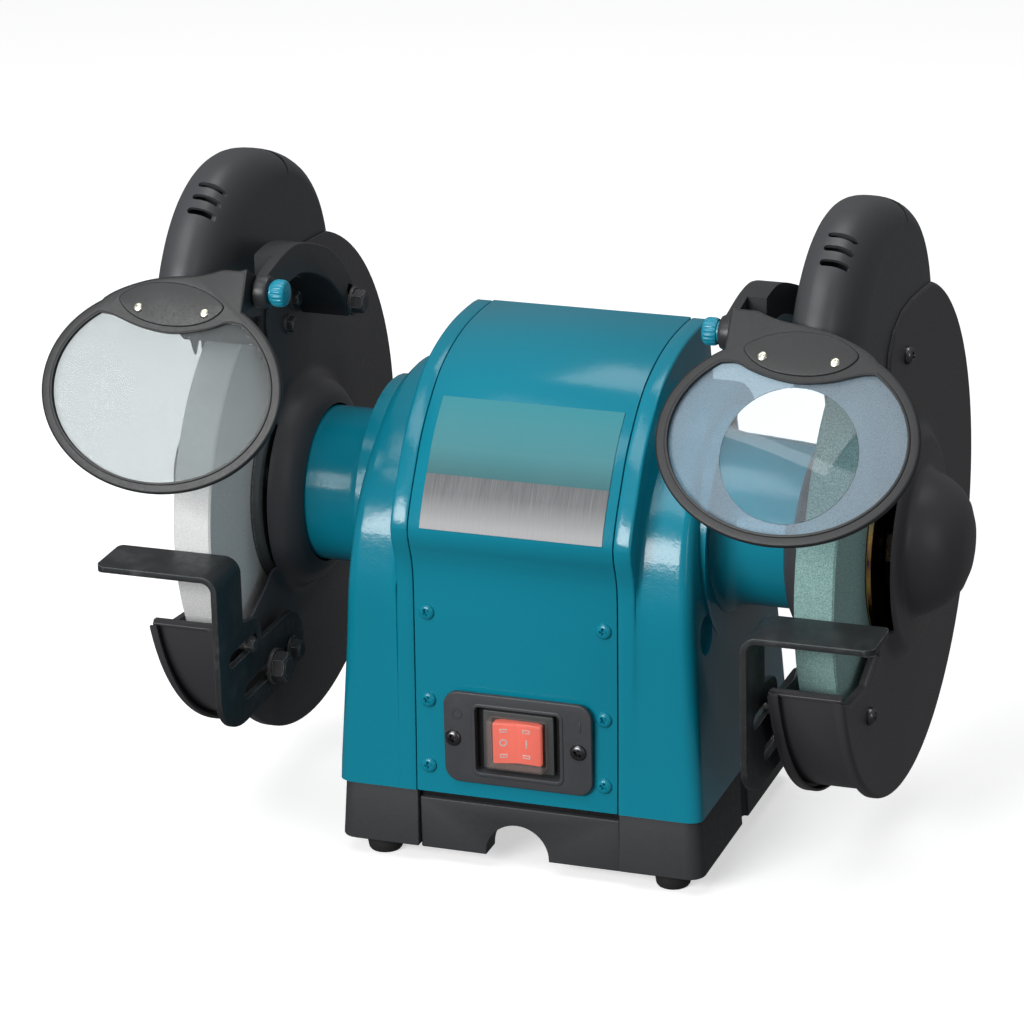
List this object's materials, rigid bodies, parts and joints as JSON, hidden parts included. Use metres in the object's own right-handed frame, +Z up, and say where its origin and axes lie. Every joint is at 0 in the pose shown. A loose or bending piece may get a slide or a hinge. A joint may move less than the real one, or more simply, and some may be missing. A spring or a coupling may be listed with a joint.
{
  "type": "bench grinder",
  "caption": "Bench grinder with a guarded grinding wheel at each end of a motor housing, dust hoods, tilting eye shields, sliding tool rests and a covered rocker switch.",
  "frame": {"origin": "on the floor under the middle of the box of the whole object", "axes": "+X along the spindle to the operator's right, -Y towards the operator, +Z up"},
  "size_m": [0.424, 0.2914, 0.3391],
  "materials": {
    "body_paint": "teal gloss paint with a fine orange-peel texture",
    "hood_black": "smooth satin black coat",
    "guard_coat": "dark grey powder coat",
    "base_plastic": "dark grey moulded plastic with a fine grain",
    "plate_iron": "dark painted sheet steel",
    "foot_rubber": "matt black rubber",
    "label_metal": "bare satin foil, two tones",
    "switch_plastic": "black moulded plastic",
    "rocker_red": "translucent red, lit from behind",
    "clear_plastic": "clear flexible dust cover",
    "bright_steel": "turned bright steel",
    "core_iron": "laminated iron",
    "wheel_white": "white bonded abrasive",
    "wheel_green": "green bonded abrasive with a coarse grain",
    "dark_steel": "blackened steel, worn bright at the edges",
    "frame_plastic": "satin black moulded plastic",
    "knob_plastic": "teal ribbed plastic",
    "lens_clear": "clear lens"
  },
  "bodies": {
    "frame": {"base_plate": "plate_iron", "base_block_left": "base_plastic", "base_block_right": "base_plastic", "base_front_bridge": "base_plastic", "foot_front_left": "foot_rubber", "foot_front_right": "foot_rubber", "foot_rear_left": "foot_rubber", "foot_rear_right": "foot_rubber", "motor_cover": "body_paint", "rear_panel": "body_paint", "cable_gland": "foot_rubber", "end_casting_left": "body_paint", "end_casting_right": "body_paint", "label_plate": "label_metal", "switch_plate": "switch_plastic", "switch_body": "switch_plastic", "switch_cover": "clear_plastic", "stator": "core_iron", "bearing_left": "bright_steel", "bearing_right": "bright_steel", "capacitor": "switch_plastic", "inner_guard_left": "guard_coat", "inner_guard_right": "guard_coat", "outer_cover_left": "guard_coat", "outer_cover_right": "guard_coat", "cover_screw_left": "dark_steel", "cover_screw_right": "dark_steel", "hood_left": "hood_black", "hood_right": "hood_black", "shield_bracket_left": "hood_black", "bracket_bolt_left": "dark_steel", "shield_bracket_right": "hood_black", "bracket_bolt_right": "dark_steel", "rest_clamp_bolt_left": "dark_steel", "rest_lock_bolt_left": "dark_steel", "rest_guide_bolt_left": "dark_steel", "rest_clamp_bolt_right": "dark_steel", "rest_lock_bolt_right": "dark_steel", "rest_guide_bolt_right": "dark_steel"},
    "spindle": {"spindle_shaft": "bright_steel", "rotor": "core_iron", "wheel_left": "wheel_white", "inner_flange_left": "dark_steel", "outer_flange_left": "dark_steel", "spindle_nut_left": "bright_steel", "wheel_right": "wheel_green", "inner_flange_right": "dark_steel", "outer_flange_right": "dark_steel", "spindle_nut_right": "bright_steel"},
    "rocker": {"switch_rocker": "rocker_red"},
    "shield_left": {"shield_frame_left": "frame_plastic", "shield_lens_left": "lens_clear"},
    "knob_left": {"shield_knob_left": "knob_plastic"},
    "rest_left": {"tool_rest_left": "dark_steel"},
    "arrester_left": {"spark_arrester_left": "guard_coat"},
    "shield_right": {"shield_frame_right": "frame_plastic", "shield_lens_right": "lens_clear"},
    "knob_right": {"shield_knob_right": "knob_plastic"},
    "rest_right": {"tool_rest_right": "dark_steel"},
    "arrester_right": {"spark_arrester_right": "guard_coat"}
  },
  "joints": [
    {"name": "spindle_spin", "type": "hinge", "parent": "frame", "child": "spindle", "pos_m": [0, 0.02297, 0.163], "axis": [1, 0, 0], "continuous": true},
    {"name": "rocker_tip", "type": "hinge", "parent": "frame", "child": "rocker", "pos_m": [0.0021, -0.05753, 0.0715], "axis": [0, 0, -1], "range_deg": [0, 10]},
    {"name": "shield_tilt_left", "type": "hinge", "parent": "frame", "child": "shield_left", "pos_m": [-0.118, -0.07403, 0.2924], "axis": [-1, 0, 0], "range_deg": [-2, 33]},
    {"name": "shield_knob_turn_left", "type": "hinge", "parent": "frame", "child": "knob_left", "pos_m": [-0.108, -0.07403, 0.2924], "axis": [1, 0, 0], "continuous": true},
    {"name": "rest_slide_left", "type": "slide", "parent": "frame", "child": "rest_left", "axis": [0, 1, 0], "range_m": [-0.003, 0.0015]},
    {"name": "arrester_slide_left", "type": "slide", "parent": "frame", "child": "arrester_left", "axis": [0, 0, 1], "range_m": [-0.003, 0.004]},
    {"name": "shield_tilt_right", "type": "hinge", "parent": "frame", "child": "shield_right", "pos_m": [0.118, -0.07403, 0.2924], "axis": [-1, 0, 0], "range_deg": [-11, 23]},
    {"name": "shield_knob_turn_right", "type": "hinge", "parent": "frame", "child": "knob_right", "pos_m": [0.108, -0.07403, 0.2924], "axis": [1, 0, 0], "continuous": true},
    {"name": "rest_slide_right", "type": "slide", "parent": "frame", "child": "rest_right", "axis": [0, 1, 0], "range_m": [-0.003, 0.0015]},
    {"name": "arrester_slide_right", "type": "slide", "parent": "frame", "child": "arrester_right", "axis": [0, 0, 1], "range_m": [-0.003, 0.004]}
  ]
}
